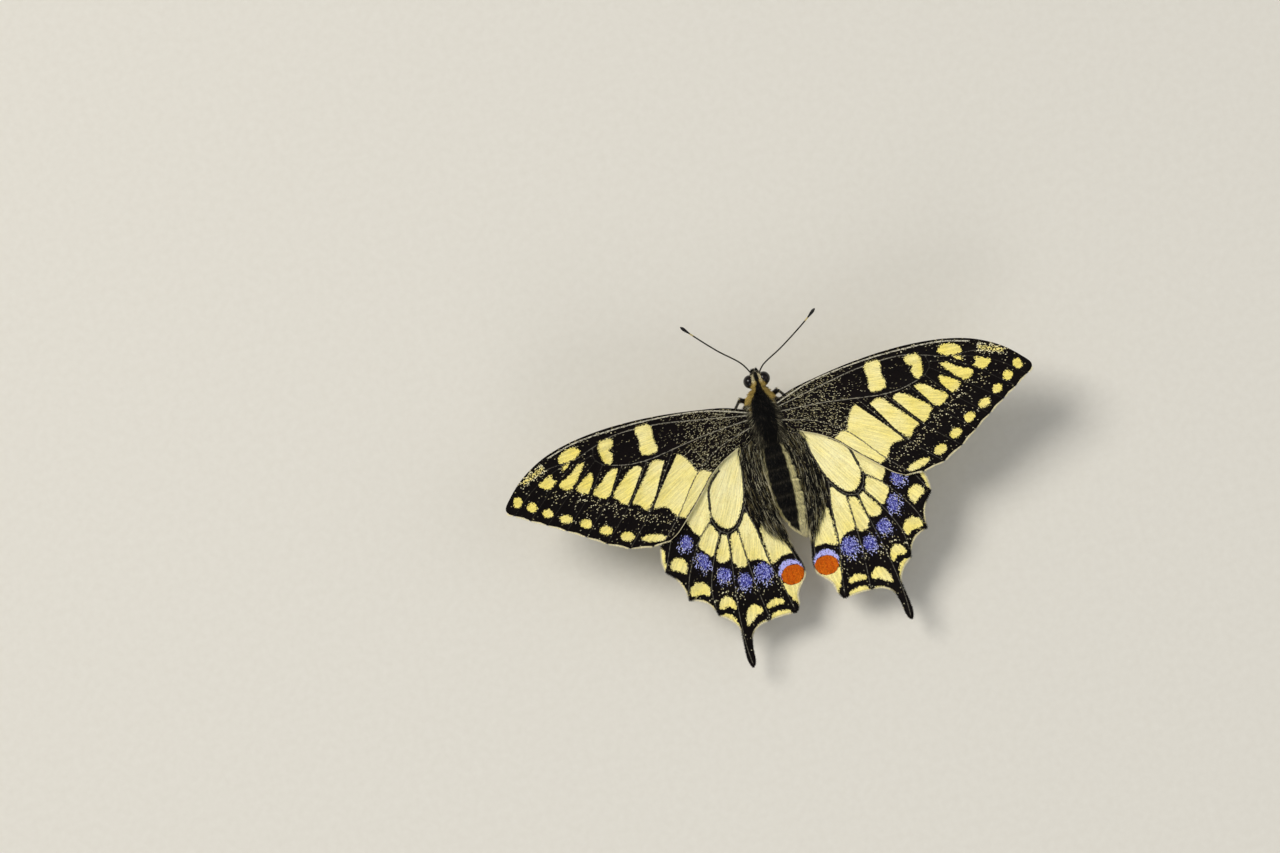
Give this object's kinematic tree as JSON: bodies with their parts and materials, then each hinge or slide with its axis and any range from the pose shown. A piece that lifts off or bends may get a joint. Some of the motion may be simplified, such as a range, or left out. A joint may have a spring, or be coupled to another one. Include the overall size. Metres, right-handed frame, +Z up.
{
  "type": "swallowtail butterfly",
  "caption": "Life-size Old World swallowtail butterfly standing with its wings spread flat: yellow and black wings, blue-dusted and tailed hindwings with an orange eyespot.",
  "frame": {"origin": "middle of the object's box, on the ground the soles stand on", "axes": "+Z up, the head faces -Y, +X to the butterfly's left, with the wings spread along X"},
  "size_m": [0.0824, 0.0518, 0.0178],
  "materials": {
    "body_coat": "matte",
    "abdomen_coat": "matte",
    "eye": "gloss",
    "antenna": "satin",
    "forewing": "matte",
    "hindwing": "matte",
    "leg": "satin"
  },
  "bodies": {
    "root": {"head": "body_coat", "thorax": "body_coat", "abdomen": "abdomen_coat", "palp_left": "body_coat", "palp_right": "body_coat", "eye_left": "eye", "eye_right": "eye", "antenna_left": "antenna", "antenna_right": "antenna", "proboscis": "antenna", "forewing_left": "forewing", "forewing_right": "forewing", "hindwing_left": "hindwing", "hindwing_right": "hindwing", "foreleg_left": "leg", "foreleg_right": "leg", "midleg_left": "leg", "midleg_right": "leg", "hindleg_left": "leg", "hindleg_right": "leg"}
  },
  "joints": []
}
